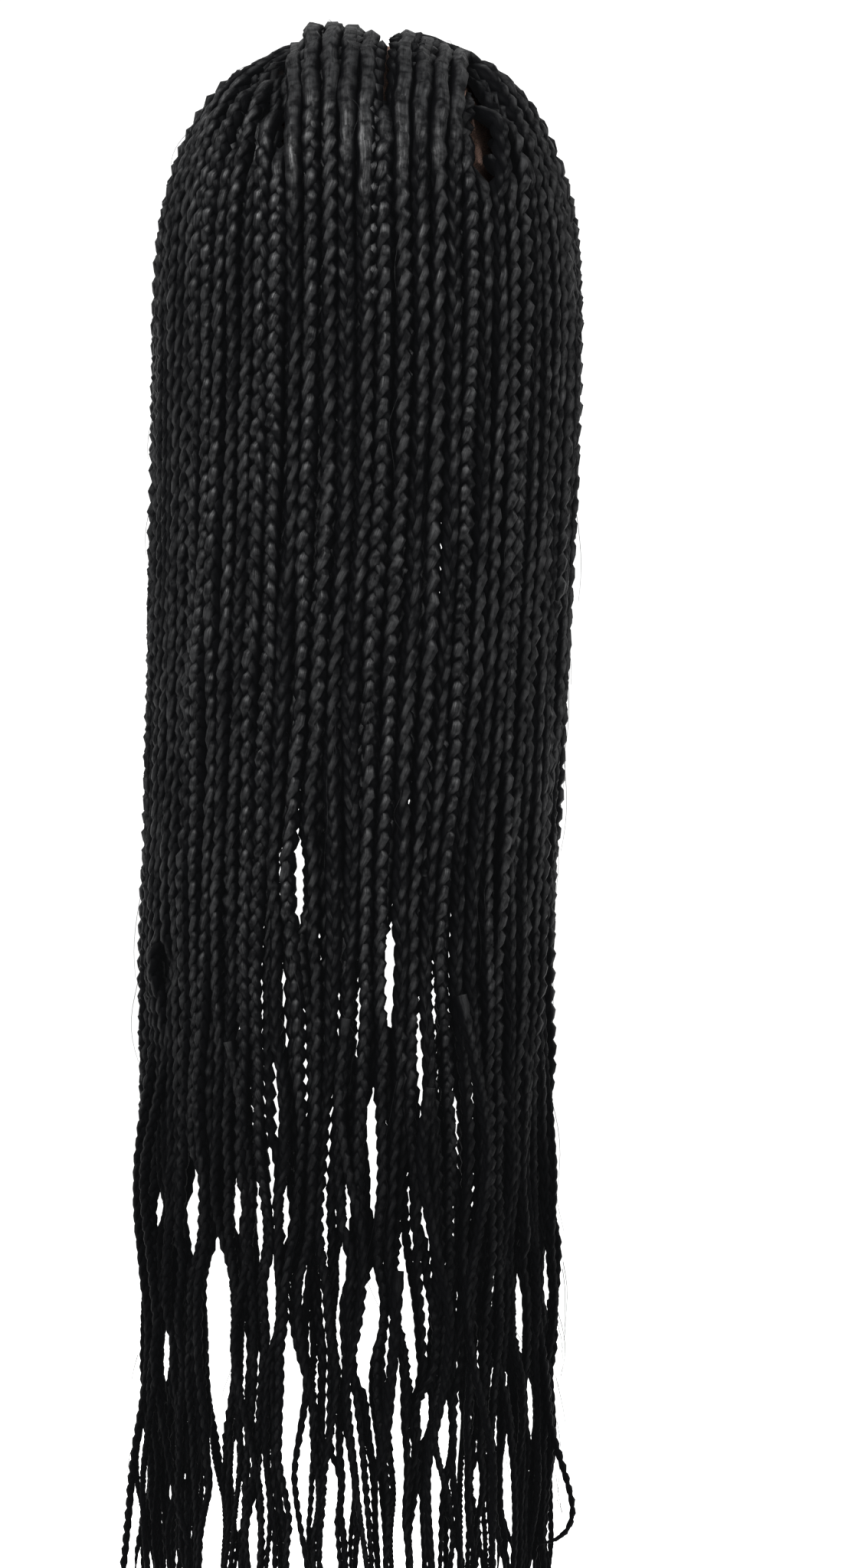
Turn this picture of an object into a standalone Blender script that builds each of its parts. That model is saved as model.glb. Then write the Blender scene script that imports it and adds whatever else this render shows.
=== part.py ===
"""A box braid wig: a lace cap, an outer crown of separate braids, and three rows of braids under it.

Metres, +Z up. The back of the head faces -Y and the face opening faces +Y. The origin is the top of
the cap's inside, where the cap sits on the crown of a head.
"""

import functools
import math

import bmesh
import bpy
from mathutils import Vector
from mathutils.bvhtree import BVHTree
from mathutils.geometry import intersect_point_line

# Cap, measured inside
CAP_HALF_BREADTH = 0.0775
CAP_HALF_LENGTH = 0.0975
CAP_DEPTH = 0.100  # from the crown down to its widest level
CAP_WALL = 0.0018
CAP_RIM_FOREHEAD = 0.058  # how far the rim lies below the crown at the forehead
CAP_RIM_EAR = 0.108
CAP_RIM_NAPE = 0.142
CAP_RIM_POWER = 1.6  # above 1 keeps the rim near the ear level for longer
CAP_SEGMENTS = 28
CAP_RINGS = 16

# Dome of hair, to the middle of its outer layer of braids
HAIR_HALF_BREADTH = 0.1075
HAIR_HALF_DEPTH = 0.120
HAIR_RISE = 0.0100  # above the origin
HAIR_WIDEST_DROP = 0.138  # the widest level, below the origin
DOME_POWER = 2.35  # 2 is an ellipse, more is squarer
SHOULDER_DIPS = (  # where the hair sinks beside the crown: x, half breadth, depth
    (-0.053, 0.014, 0.0042),
    (0.047, 0.020, 0.0034),
)

# Braids
BRAID_WIDTH = 0.0084
ROOT_WIDTH = 0.0042
TIP_WIDTH = 0.0028
THIN_FROM = 0.33  # the level below the origin where braids start to thin
THIN_POWER = 1.05
HAIR_LENGTH = 0.810  # from the origin to the middle of the tips
TIP_SPREAD = 0.018
TIP_TURN = 2.4  # radians from one column to the next in the wave that spreads the tips
ROW_TIP_TURN = 3.1
BRAID_SIDES_RESOLUTION = 1  # six sides
GAP = 0.0003
LINE_STEP = math.radians(0.25)  # fineness of lengths along the hang line

# Crown layer: columns counted from the middle of the back, positive to +X
BACK_COLUMNS = 21
FRONT_COLUMNS = 6
BACK_PITCH = 0.0092
FRONT_PITCH = 0.0155
# Shares of the way from a root to the hang line
DOME_SHARES = (0.13, 0.23, 0.34, 0.46, 0.58, 0.70, 0.82, 0.93, 1.0)
SHARE_APART = 0.07  # from a braid's start to its second point
FIRST_SHARE = 0.05
LAST_START_SHARE = 0.95
SHARE_STEP = 0.01
SPACING_STEPS = 40  # fineness of the distance to a neighbour
HANG_STEPS = 7
ROOT_RISE = 0.022  # run over which a braid climbs from the cap to the outer layer

# Roots of the crown layer. The parting lies between columns 0 and 1. A top group on both sides of it
# runs back from the forehead, and the other columns start along the two sides of that group
PARTING_X = 0.0076
PARTING_COLUMN = 0.5
PARTING_HALF_WIDTH = 0.0022
TOP_COLUMNS = 5  # on each side of the parting
TOP_FRONT_Y = 0.066
PARTING_END_Y = -0.006  # where the two columns next to the parting start, behind the crown
SIDE_ROOTS_APART = 0.0085  # from the top group's last column to the roots at both ends of a side
SIDE_ROOTS_TUCK = 0.0042  # how far in under that column the roots between them lie
SIDE_TUCK_SHARE = 0.32  # share of a side's roots over which they move in under it, at each end
SIDE_ROOTS_BACK_Y = -0.045
SIDE_ROOTS_FRONT_Y = 0.060

# How far a column of the top group passes above the dome at the crown
TOP_LIFTS = {
    -4: 0.0004,
    -3: 0.0016,
    -2: 0.0002,
    -1: -0.0026,
    0: -0.0022,
    1: -0.0022,
    2: -0.0030,
    3: -0.0026,
    4: -0.0012,
    5: 0.0005,
}
TOP_LIFT_SHARES = (0.0, 0.22, 0.50, 0.95)  # where that starts, is whole, starts to fade and ends

# Hang: the curtain of hair narrows a little and drifts sideways below the dome
HANG_NARROWS = 0.035
HANG_DRIFT = -0.0105
HANG_SETTLES = 0.36  # length over which it does so
WAVE = 0.0030  # sideways sway near the tips
WAVE_LENGTHS = ((0.110, 0.36, 0.0, 1.0), (0.047, 0.21, 1.3, 0.5))

# Rows under the crown
ROW_COLUMNS = 9
ROW_SPAN = math.radians(82)
ROW_INSET = 0.0112  # from the middle of the outer layer to the middle of this one
ROW_LEVEL = 0.082  # the middle of the band, below the origin
ROW_RUN = 0.065  # drop over which its braids swing out from the cap
ROW_SHARES = (0.0, 0.35, 1.0)  # of that drop
ROW_SHORTER = 0.012
BAND_HEIGHT = 0.010
BAND_WALL = 0.0024
BAND_STEPS = 12
ROW_HANG_STEPS = 4

# Slits that open between two crown columns, as seen from the back. column: the slit lies between it
# and the next. top and bottom: shares of the hair's length. half: share of the braid's width
SLIT_RUN = 0.25  # share of its length over which a slit opens, and closes
SLIT_POWER = 4  # above 1, and higher bends fewer braids
SLITS = (
    {"column": -4, "top": 0.505, "bottom": 0.555, "half": 0.15},
    {"column": -3, "top": 0.500, "bottom": 0.570, "half": 0.18},
    {"column": -14, "top": 0.570, "bottom": 0.610, "half": 0.16},
    {"column": 2, "top": 0.553, "bottom": 0.635, "half": 0.14},
    {"column": -4, "top": 0.568, "bottom": 0.660, "half": 0.15},
    {"column": 1, "top": 0.650, "bottom": 0.758, "half": 0.15},
    {"column": -5, "top": 0.684, "bottom": 0.758, "half": 0.18},
    {"column": -11, "top": 0.700, "bottom": 0.780, "half": 0.28},
    {"column": -9, "top": 0.745, "bottom": 0.940, "half": 0.50},
    {"column": -3, "top": 0.790, "bottom": 0.960, "half": 0.55},
    {"column": 1, "top": 0.780, "bottom": 0.860, "half": 0.40},
    {"column": 13, "top": 0.755, "bottom": 0.830, "half": 0.25},
)

CAP_COLOUR = (0.070, 0.036, 0.022, 1.0)
HAIR_COLOUR = (0.011, 0.0115, 0.014, 1.0)


def ease(share):
    """0 at 0, 1 at 1, level at both."""
    share = min(max(share, 0.0), 1.0)
    return share * share * (3 - 2 * share)


def mix(low, high, share):
    return low + (high - low) * share


def material(name, colour, roughness):
    made = bpy.data.materials.new(name)
    made.use_nodes = True
    shader = made.node_tree.nodes["Principled BSDF"]
    shader.inputs["Base Color"].default_value = colour
    shader.inputs["Roughness"].default_value = roughness
    made.diffuse_color = colour
    return made


# Domes


def dome_height(radius):
    """Height of a dome of unit size above its widest level, at this share of its radius."""
    return max(1 - min(radius, 1.0) ** DOME_POWER, 0.0) ** (1 / DOME_POWER)


def on_dome(side, back):
    """The point of the outer layer's dome over this share of its breadth and depth."""
    unit = dome_height(math.hypot(side, back))
    x = HAIR_HALF_BREADTH * side
    dip = unit * sum(
        depth * math.exp(-(((x - middle) / half) ** 2)) for middle, half, depth in SHOULDER_DIPS
    )
    high = (HAIR_RISE + HAIR_WIDEST_DROP) * unit
    return Vector((x, HAIR_HALF_DEPTH * back, high - HAIR_WIDEST_DROP - dip))


# The hang line, an ellipse at the dome's widest level


def along_hang_line(length):
    """The angle from the middle of the back at this length along the hang line."""
    angle, done = 0.0, 0.0
    while done < abs(length):
        middle = angle + LINE_STEP / 2
        pace = math.hypot(HAIR_HALF_BREADTH * math.cos(middle), HAIR_HALF_DEPTH * math.sin(middle))
        angle += min(LINE_STEP, (abs(length) - done) / pace)
        done += pace * LINE_STEP
    return math.copysign(angle, length)


def column_length(column):
    """Length along the hang line from the middle of the back to this column."""
    size = abs(column)
    run = min(size, BACK_COLUMNS) * BACK_PITCH + max(size - BACK_COLUMNS, 0) * FRONT_PITCH
    return math.copysign(run, column)


LAST_COLUMN = BACK_COLUMNS + FRONT_COLUMNS
COLUMN_ANGLES = {
    column: along_hang_line(column_length(column))
    for column in range(-LAST_COLUMN - 1, LAST_COLUMN + 2)
}


# Hanging hair


def width_at(drop):
    """Full width of a braid this far below the origin."""
    share = (drop - THIN_FROM) / (HAIR_LENGTH - THIN_FROM)
    return mix(BRAID_WIDTH, TIP_WIDTH, min(max(share, 0.0), 1.0) ** THIN_POWER)


def settled(side, back, inset, length, drop):
    """Where hair hangs before slits open in it: side and back are shares of the hang line."""
    share = ease((drop - HAIR_WIDEST_DROP) / HANG_SETTLES)
    scale = 1 - HANG_NARROWS * share
    wide = (HAIR_HALF_BREADTH - inset) * scale
    deep = (HAIR_HALF_DEPTH - inset) * scale
    sway = 0.0
    for across, down, phase, size in WAVE_LENGTHS:
        sway += size * math.sin(2 * math.pi * (length / across + drop / down) + phase)
    sway *= WAVE * ease((drop - HAIR_WIDEST_DROP) / (HAIR_LENGTH - HAIR_WIDEST_DROP))
    return (
        wide * side + HANG_DRIFT * share - sway * back,
        deep * back + sway * side,
        -drop,
    )


def column_settled(column, drop):
    angle = COLUMN_ANGLES[column]
    return settled(math.sin(angle), -math.cos(angle), 0.0, column_length(column), drop)


def hang(side, back, inset, length, drop):
    """The same with each slit's hair pushed to both sides of it."""
    x, y, z = settled(side, back, inset, length, drop)
    for slit in SLITS:
        top, bottom = slit["top"] * HAIR_LENGTH, slit["bottom"] * HAIR_LENGTH
        run = SLIT_RUN * (bottom - top)
        opened = min(ease((drop - top) / run), ease((bottom - drop) / run))
        if opened > 0:
            column = slit["column"]
            middle = (column_settled(column, drop)[0] + column_settled(column + 1, drop)[0]) / 2
            clear = (slit["half"] * BRAID_WIDTH + width_at(drop) / 2) * opened
            away = x - middle
            pushed = (abs(away) ** SLIT_POWER + clear**SLIT_POWER) ** (1 / SLIT_POWER)
            x = middle + math.copysign(pushed, away)
    return (x, y, z)


# Crown braids


def in_top_group(column):
    return abs(column - PARTING_COLUMN) < TOP_COLUMNS


def root(column):
    """(x, y) of a column's root, seen from above."""
    away = column - PARTING_COLUMN
    if in_top_group(column):
        across = abs(away) * BACK_PITCH
        y = PARTING_END_Y if abs(away) < 1 else TOP_FRONT_Y
    else:
        forward = (abs(away) - TOP_COLUMNS) / (LAST_COLUMN - TOP_COLUMNS)
        from_end = min(forward, 1 - forward)
        apart = mix(SIDE_ROOTS_APART, -SIDE_ROOTS_TUCK, ease(from_end / SIDE_TUCK_SHARE))
        across = (TOP_COLUMNS - PARTING_COLUMN) * BACK_PITCH + apart
        y = mix(SIDE_ROOTS_BACK_Y, SIDE_ROOTS_FRONT_Y, forward)
    return PARTING_X + math.copysign(PARTING_HALF_WIDTH + across, away), y


def dome_point(column, share):
    """A point on a column's way over the dome, from its root to the hang line."""
    x, y = root(column)
    angle = COLUMN_ANGLES[column]
    side = mix(x / HAIR_HALF_BREADTH, math.sin(angle), share)
    back = mix(y / HAIR_HALF_DEPTH, -math.cos(angle), share)
    place = on_dome(side, back)
    begin, whole, fade, end = TOP_LIFT_SHARES
    lifted = min(ease((share - begin) / (whole - begin)), ease((end - share) / (end - fade)))
    place.z += TOP_LIFTS.get(column, 0.0) * lifted
    return place


@functools.cache
def dome_line(column):
    return [dome_point(column, step / SPACING_STEPS) for step in range(SPACING_STEPS + 1)]


def spacing(column, share):
    """Distance from a column to the nearer of its neighbours."""
    here = dome_point(column, share)
    found = []
    for other in (column - 1, column + 1):
        line = dome_line(other)
        for one, next_one in zip(line, line[1:]):
            nearest, along = intersect_point_line(here, one, next_one)
            if 0 <= along <= 1:
                found.append((nearest - here).length)
            found.append((one - here).length)
        found.append((line[-1] - here).length)
    return min(found)


def start_share(column):
    """Where a column starts: every fourth one highest, the others where there is room."""
    if in_top_group(column):
        apart, needed = 1, BRAID_WIDTH + GAP
    elif column % 2:
        apart, needed = 1, (BRAID_WIDTH + ROOT_WIDTH) / 2 + GAP
    elif column % 4:
        apart, needed = 2, BRAID_WIDTH + GAP
    else:
        apart, needed = 4, BRAID_WIDTH + GAP
    share = FIRST_SHARE
    while apart * spacing(column, share) < needed and share < LAST_START_SHARE:
        share += SHARE_STEP
    return share


def seated(place, width, lift, cap_surface):
    """A point of the outer layer moved down to the cap. lift: 0 rests on the cap, 1 stays up."""
    nearest, _, _, distance = cap_surface.find_nearest(place)
    depth = (distance - GAP - width / 2) * (1 - lift)
    return place + (nearest - place).normalized() * depth


def crown_path(column, cap_surface):
    """The points of a crown braid from its root to its tip, each (x, y, z, width)."""
    start = start_share(column)
    points = []
    run = 0.0
    before = dome_point(column, start)
    for share in (start, *(share for share in DOME_SHARES if share > start + SHARE_APART)):
        place = dome_point(column, share)
        run += (place - before).length
        before = place
        lift = ease(run / ROOT_RISE)
        width = mix(ROOT_WIDTH, BRAID_WIDTH, lift)
        if column % 2 and not in_top_group(column):
            width = min(width, 2 * (spacing(column, share) - GAP) - BRAID_WIDTH)
        width = max(width, ROOT_WIDTH)
        points.append((*seated(place, width, lift, cap_surface), width))
    tip = HAIR_LENGTH + TIP_SPREAD * math.sin(TIP_TURN * column)
    angle = COLUMN_ANGLES[column]
    for step in range(1, HANG_STEPS + 1):
        drop = mix(HAIR_WIDEST_DROP, tip, step / HANG_STEPS)
        place = hang(math.sin(angle), -math.cos(angle), 0.0, column_length(column), drop)
        points.append((*place, width_at(drop)))
    return points


# Blender objects


def collection(name, hidden=False):
    made = bpy.data.collections.new(name)
    bpy.context.scene.collection.children.link(made)
    made.hide_render = hidden
    return made


def braid_curve(name, points, paint, home):
    """A tapered six-sided tube through the points."""
    data = bpy.data.curves.new(name, "CURVE")
    data.dimensions = "3D"
    data.bevel_depth = BRAID_WIDTH / 2
    data.bevel_resolution = BRAID_SIDES_RESOLUTION
    data.use_fill_caps = True
    spline = data.splines.new("POLY")
    spline.points.add(len(points) - 1)
    for point, (x, y, z, width) in zip(spline.points, points):
        point.co = (x, y, z, 1.0)
        point.radius = width / BRAID_WIDTH
    made = bpy.data.objects.new(name, data)
    data.materials.append(paint)
    home.objects.link(made)
    return made


def cap(paint, home):
    """An open dome from the upper half of a sphere, solidified outwards."""
    bpy.ops.mesh.primitive_uv_sphere_add(segments=CAP_SEGMENTS, ring_count=CAP_RINGS, radius=1.0)
    made = bpy.context.object
    made.name = "cap"
    for old in list(made.users_collection):
        old.objects.unlink(made)
    home.objects.link(made)
    mesh = made.data
    lower = [v.index for v in mesh.vertices if v.co.z < -0.001]
    drop_vertices(mesh, lower)
    for vertex in mesh.vertices:
        x, y, z = vertex.co
        flat = math.hypot(x, y)
        share = 1 - math.asin(max(-1.0, min(1.0, z))) / (math.pi / 2)
        toward = (x / flat, y / flat) if flat > 1e-6 else (0.0, 0.0)
        reach = share * rim_reach(toward[1])
        radius, level = cap_meridian(reach)
        vertex.co = (
            CAP_HALF_BREADTH * radius * toward[0],
            CAP_HALF_LENGTH * radius * toward[1],
            level,
        )
    mesh.materials.append(paint)
    wall = made.modifiers.new("wall", "SOLIDIFY")
    wall.thickness = CAP_WALL
    wall.offset = 1
    wall.use_even_offset = True
    return made


def drop_vertices(mesh, indices):
    shape = bmesh.new()
    shape.from_mesh(mesh)
    shape.verts.ensure_lookup_table()
    bmesh.ops.delete(shape, geom=[shape.verts[i] for i in indices], context="VERTS")
    shape.to_mesh(mesh)
    shape.free()


def cap_meridian(reach):
    """(radius share, height) on the cap at a reach from its crown, which is 1 at its widest level."""
    if reach > 1:
        return 1.0, -CAP_DEPTH * reach
    turn = math.pi / 2 * (1 - reach)
    power = 2 / DOME_POWER
    return math.cos(turn) ** power, -CAP_DEPTH + CAP_DEPTH * math.sin(turn) ** power


def rim_reach(facing):
    """How far along its meridian the cap's rim lies. facing: 1 at the forehead, -1 at the nape."""
    end = CAP_RIM_FOREHEAD if facing > 0 else CAP_RIM_NAPE
    drop = mix(CAP_RIM_EAR, end, abs(facing) ** CAP_RIM_POWER)
    if drop > CAP_DEPTH:
        return drop / CAP_DEPTH
    height = (CAP_DEPTH - drop) / CAP_DEPTH
    return 1 - math.asin(height ** (DOME_POWER / 2)) / (math.pi / 2)


def cap_radius_at(drop):
    """Share of the cap's widest radius at this depth below the crown."""
    return dome_height(max(CAP_DEPTH - drop, 0.0) / CAP_DEPTH)


def row_root(angle, out, drop):
    """A point this far out from the cap's outside at an angle round it."""
    share = cap_radius_at(drop)
    wide = CAP_HALF_BREADTH * share + CAP_WALL + out
    deep = CAP_HALF_LENGTH * share + CAP_WALL + out
    return (wide * math.sin(angle), -deep * math.cos(angle), -drop)


def row_path(angle, index):
    """A row's braid from inside its band, swinging out to hang under the crown layer."""
    side, back = math.sin(angle), -math.cos(angle)
    length = math.copysign(abs(angle) * (HAIR_HALF_BREADTH + HAIR_HALF_DEPTH) / 2, angle)
    start = ROW_LEVEL - BAND_HEIGHT / 4
    out = GAP + BAND_WALL + ROOT_WIDTH / 4
    points = []
    for share in ROW_SHARES:
        drop = start + ROW_RUN * share
        near = row_root(angle, out, drop)
        far = hang(side, back, ROW_INSET, length, max(drop, HAIR_WIDEST_DROP))
        swing = ease(share)
        place = (mix(near[0], far[0], swing), mix(near[1], far[1], swing), -drop)
        points.append((*place, mix(ROOT_WIDTH, BRAID_WIDTH, swing)))
    tip = HAIR_LENGTH - ROW_SHORTER + TIP_SPREAD * math.sin(ROW_TIP_TURN * index)
    top = start + ROW_RUN
    for step in range(1, ROW_HANG_STEPS + 1):
        drop = mix(top, tip, step / ROW_HANG_STEPS)
        place = hang(side, back, ROW_INSET, length, drop)
        points.append((*place, width_at(drop)))
    return points


def welded_copy(curve, home):
    """The curve as a closed mesh object, in place of the curve."""
    graph = bpy.context.evaluated_depsgraph_get()
    mesh = bpy.data.meshes.new_from_object(curve.evaluated_get(graph))
    shape = bmesh.new()
    shape.from_mesh(mesh)
    bmesh.ops.remove_doubles(shape, verts=shape.verts, dist=1e-6)
    bmesh.ops.recalc_face_normals(shape, faces=shape.faces)
    shape.to_mesh(mesh)
    shape.free()
    made = bpy.data.objects.new(curve.name + "_mesh", mesh)
    made.matrix_world = curve.matrix_world.copy()
    home.objects.link(made)
    made.hide_render = True
    made.display_type = "WIRE"
    bpy.data.objects.remove(curve)
    return made


def under_row(name, middle, paint, home):
    """A stitched band round part of the cap with its braids fused to it."""
    strands = collection(name + "_strands", hidden=True)
    step = ROW_SPAN / (ROW_COLUMNS - 1)
    for index in range(ROW_COLUMNS):
        angle = middle - ROW_SPAN / 2 + step * index
        path = row_path(angle, index)
        curve = braid_curve(f"{name}_strand_{index + 1:02d}", path, paint, strands)
        bpy.context.view_layer.update()
        welded_copy(curve, strands)
    bpy.ops.mesh.primitive_grid_add(x_subdivisions=BAND_STEPS, y_subdivisions=1, size=1.0)
    made = bpy.context.object
    made.name = name
    for old in list(made.users_collection):
        old.objects.unlink(made)
    home.objects.link(made)
    span = ROW_SPAN + 0.5 * step
    for vertex in made.data.vertices:
        angle = middle + span * vertex.co.x
        drop = ROW_LEVEL - BAND_HEIGHT * vertex.co.y
        vertex.co = row_root(angle, GAP, drop)
    made.data.materials.append(paint)
    wall = made.modifiers.new("wall", "SOLIDIFY")
    wall.thickness = BAND_WALL
    wall.offset = 1
    join = made.modifiers.new("join", "BOOLEAN")
    join.operation = "UNION"
    join.operand_type = "COLLECTION"
    join.solver = "EXACT"
    join.collection = strands
    return made


def main():
    for old in list(bpy.data.objects):
        bpy.data.objects.remove(old)
    home = collection("braid_wig")
    lace = material("lace", CAP_COLOUR, 0.8)
    hair = material("hair", HAIR_COLOUR, 0.5)
    head_cap = cap(lace, home)
    bpy.context.view_layer.update()
    cap_surface = BVHTree.FromObject(head_cap, bpy.context.evaluated_depsgraph_get())
    for column in range(-LAST_COLUMN, LAST_COLUMN + 1):
        name = f"crown_braid_{column + LAST_COLUMN + 1:02d}"
        braid_curve(name, crown_path(column, cap_surface), hair, home)
    under_row("under_row_left", -math.radians(90), hair, home)
    under_row("under_row_back", 0.0, hair, home)
    under_row("under_row_right", math.radians(90), hair, home)


main()
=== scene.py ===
"""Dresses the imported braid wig: plaited braids over the frame's tubes, a lace cap and studio light.

Metres, +Z up, in the part's own frame. The back of the head faces -Y.
"""

import math

import bpy
import numpy as np
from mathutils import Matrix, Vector
from mathutils.bvhtree import BVHTree
from mathutils.geometry import intersect_point_line


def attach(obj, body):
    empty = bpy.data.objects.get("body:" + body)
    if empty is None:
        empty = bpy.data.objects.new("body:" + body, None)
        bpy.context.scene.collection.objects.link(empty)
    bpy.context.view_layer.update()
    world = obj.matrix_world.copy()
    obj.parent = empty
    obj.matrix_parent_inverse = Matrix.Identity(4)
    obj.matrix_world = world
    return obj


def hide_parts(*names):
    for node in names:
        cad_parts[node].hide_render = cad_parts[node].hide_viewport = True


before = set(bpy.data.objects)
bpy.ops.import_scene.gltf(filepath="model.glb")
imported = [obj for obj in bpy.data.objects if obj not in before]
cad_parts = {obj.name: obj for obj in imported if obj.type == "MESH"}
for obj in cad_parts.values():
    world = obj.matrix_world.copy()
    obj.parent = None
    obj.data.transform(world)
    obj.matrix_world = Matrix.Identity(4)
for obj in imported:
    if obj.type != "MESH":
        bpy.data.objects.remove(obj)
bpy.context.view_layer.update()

# The dome and the hanging hair, as the part has them
HAIR_HALF_BREADTH = 0.1075
HAIR_HALF_DEPTH = 0.120
HAIR_RISE = 0.0100
HAIR_WIDEST_DROP = 0.138
DOME_POWER = 2.35
HAIR_LENGTH = 0.810
TIP_SPREAD = 0.018
THIN_FROM = 0.33
THIN_POWER = 1.05
ROOT_WIDTH = 0.0042
GAP = 0.0003
BACK_COLUMNS = 21
FRONT_COLUMNS = 6
BACK_PITCH = 0.0092
FRONT_PITCH = 0.0155
HANG_LINE_STEP = math.radians(0.25)
FIRST_SHARE = 0.05
LAST_START_SHARE = 0.95
SHARE_STEP = 0.01
SPACING_STEPS = 40
ROOT_RISE = 0.022
SHOULDER_DIPS = (  # where the hair sinks beside the crown: x, half breadth, depth
    (-0.053, 0.014, 0.0042),
    (0.047, 0.020, 0.0034),
)
# How far columns lie above the plain dome, and the shares of their way over it between which
# that begins, is whole, fades and ends
TOP_LIFTS = {
    -4: 0.0004,
    -3: 0.0016,
    -2: 0.0002,
    -1: -0.0026,
    0: -0.0022,
    1: -0.0022,
    2: -0.0030,
    3: -0.0026,
    4: -0.0012,
    5: 0.0005,
}
TOP_LIFT_SHARES = (0.0, 0.22, 0.50, 0.95)
SOLID_WIDTH = 0.0084  # the width of the part's plain tubes, which its spacing works with
PARTING_X = 0.0076
PARTING_COLUMN = 0.5
PARTING_HALF_WIDTH = 0.0022
TOP_COLUMNS = 5
TOP_FRONT_Y = 0.066
PARTING_END_Y = -0.006
SIDE_ROOTS_APART = 0.0085
SIDE_ROOTS_TUCK = 0.0042
SIDE_TUCK_SHARE = 0.32
SIDE_ROOTS_BACK_Y = -0.045
SIDE_ROOTS_FRONT_Y = 0.060
HANG_NARROWS = 0.035
HANG_DRIFT = -0.0105
HANG_SETTLES = 0.36
WAVE = 0.0030
WAVE_LENGTHS = ((0.110, 0.36, 0.0, 1.0), (0.047, 0.21, 1.3, 0.5))  # across, down, phase, share
ROW_COLUMNS = 9
ROW_SPAN = math.radians(82)
ROW_INSET = 0.0112
ROW_LEVEL = 0.082
ROW_RUN = 0.065
ROW_SHORTER = 0.012
BAND_HEIGHT = 0.010
BAND_WALL = 0.0024
BAND_PAST = 0.03  # how far a band goes past its last braids, in radians
CAP_HALF_BREADTH = 0.0775
CAP_HALF_LENGTH = 0.0975
CAP_DEPTH = 0.100
CAP_WALL = 0.0018
# Slits between a column and the next: the column, the top and bottom as shares of the hair's
# length, and half the breadth as a share of a tube's width
SLITS = (
    (-4, 0.505, 0.555, 0.15),
    (-3, 0.500, 0.570, 0.18),
    (-14, 0.570, 0.610, 0.16),
    (2, 0.553, 0.635, 0.14),
    (-4, 0.568, 0.660, 0.15),
    (1, 0.650, 0.758, 0.15),
    (-5, 0.684, 0.758, 0.18),
    (-11, 0.700, 0.780, 0.28),
    (-9, 0.745, 0.940, 0.50),
    (-3, 0.790, 0.960, 0.55),
    (1, 0.780, 0.860, 0.40),
    (13, 0.755, 0.830, 0.25),
)
SLIT_RUN = 0.25  # the share of a slit's length over which it opens, and closes
# How the tips' heights change from braid to braid of a layer: the step of a sine, in radians
CROWN_TIP_TURN = 2.4
MIDDLE_TIP_TURN = 5.3
ROW_TIP_TURN = 3.1

# Points on the way of a braid
CROWN_DOME_POINTS = 28
CROWN_HANG_POINTS = 90
MIDDLE_DOME_POINTS = 24
UNDER_HANG_POINTS = 80
EDGE_DOME_POINTS = 30
EDGE_HANG_POINTS = 16
ROW_ROOT_POINTS = 14
STRAY_POINTS = 60
STRAY_SMOOTHINGS = 10

# Looks of a braid
PLAIT_WIDTH = 0.0102
PLAIT_TIP = 0.0028
LOBE_BASE = 0.0029  # a lobe's pitch is this plus a share of the braid's width
LOBE_PER_WIDTH = 0.74
LOBE_STRETCH = (0.92, 1.16)
STRAND_ACROSS = 0.235  # shares of the braid's width: how far a strand swings, and its radii
STRAND_DEEP = 0.185
STRAND_RADIUS_ACROSS = 0.272
STRAND_RADIUS_DEEP = 0.265
STRAND_SWELL = 0.22  # how much fatter a strand is where it lies on top
LUMPS = ((0.013, 0.035), (0.031, 0.05), (0.083, 0.04))  # uneven thickness: wave, share of radius
TURN_WAVES = (0.16, 0.40)  # wave lengths at which a braid's flat side turns to and fro
END_RUN = 0.014  # length over which a tip draws in, and the share of its width that is left
END_SHARE = 0.35
OPENING = 0.020  # length over which a smooth start opens into the plait
# Samples in a full turn of the plait, and sides of a strand
BACK_MESH = (9, 6)
FRONT_MESH = (7, 5)
UNDER_MESH = (6, 4)
STRAY_MESH = (8, 6)
UV_PER_METRE = 10
UV_STRAND_APART = 1.37  # so that no two strands of a braid show the same fibres
STRANDS = 3

# The smooth starts of the crown's braids
ROLL_START = 0.0062
ROLL_WIDENS = 1.6  # how much sooner a roll is at its full width than at its full height
ROLL_SQUEEZE = 0.0018  # how far a braid that starts between two others presses into them
ROLL_RUN = (0.010, 0.026)  # length of the smooth start before the plait
ROLL_DROPS = (0.022, 0.058)  # the same for the top group, as its drop at the back of the head
ROLL_RADII = (0.49, 0.46)  # shares of the braid's width: across and deep
ROLL_NESTED = 0.01  # how much smaller each next strand is in a roll, so that no faces coincide
ROLL_LUMPS = 0.7  # how much more uneven the smooth starts are
ROLL_WANDER = ((0.052, 0.0008), (0.023, 0.0005))  # their own waves: wave, reach
ROLL_WANDER_UP = 0.2  # share of those waves that goes up and down
TOP_OPENING = 0.045
SIDE_OPENING = 0.016

# Heights added to the crown's braids over the plain tubes', for the photo's uneven outline, and
# the y between which that begins, is whole, fades and ends
LOOK_LIFTS = {
    -5: -0.0020,
    -4: -0.0056,
    -3: -0.0004,
    0: -0.0030,
    1: -0.0040,
    2: -0.0006,
    3: -0.0010,
    4: -0.0016,
    5: -0.0018,
}
LOOK_LIFT_Y = (0.085, 0.055, -0.045, -0.100)
LOOK_DIPS = ((0.056, 0.020, 0.0020), (-0.052, 0.016, 0.0022))  # x, half breadth, depth
# A gap between braids where the cap's lace shows: the drops between which it begins, is whole,
# fades and ends, and how far columns move aside for it
LACE_GAP = (0.032, 0.046, 0.070, 0.086)
LACE_GAP_MOVES = {5: -0.0006, 6: -0.0032, 8: 0.0052, 9: 0.0046, 10: 0.0028, 11: 0.0012}

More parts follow.
